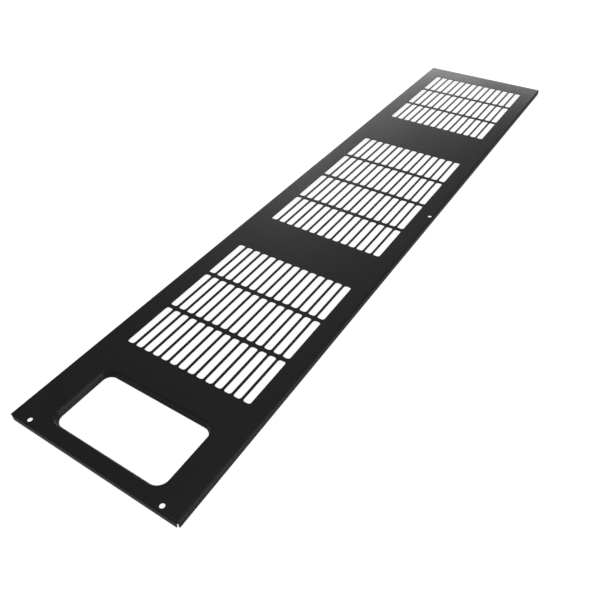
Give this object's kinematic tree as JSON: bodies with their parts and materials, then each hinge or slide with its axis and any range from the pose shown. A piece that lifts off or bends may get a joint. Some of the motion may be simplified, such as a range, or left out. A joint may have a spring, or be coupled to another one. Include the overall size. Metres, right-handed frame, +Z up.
{
  "type": "front base cover",
  "caption": "Long low cover folded from one steel sheet, with rows of vent slots, a rimmed window at one end and screw holes at its edges.",
  "frame": {"origin": "middle of the rectangle that the flange edges stand on", "axes": "+Y along the cover away from the window, +X across it towards the long edge with the screw hole, +Z up out of the face"},
  "size_m": [0.1786, 0.856, 0.007],
  "materials": {
    "powder_coated_steel": "black powder coat, fine texture, satin"
  },
  "bodies": {
    "root": {"cover_panel": "powder_coated_steel"}
  },
  "joints": []
}
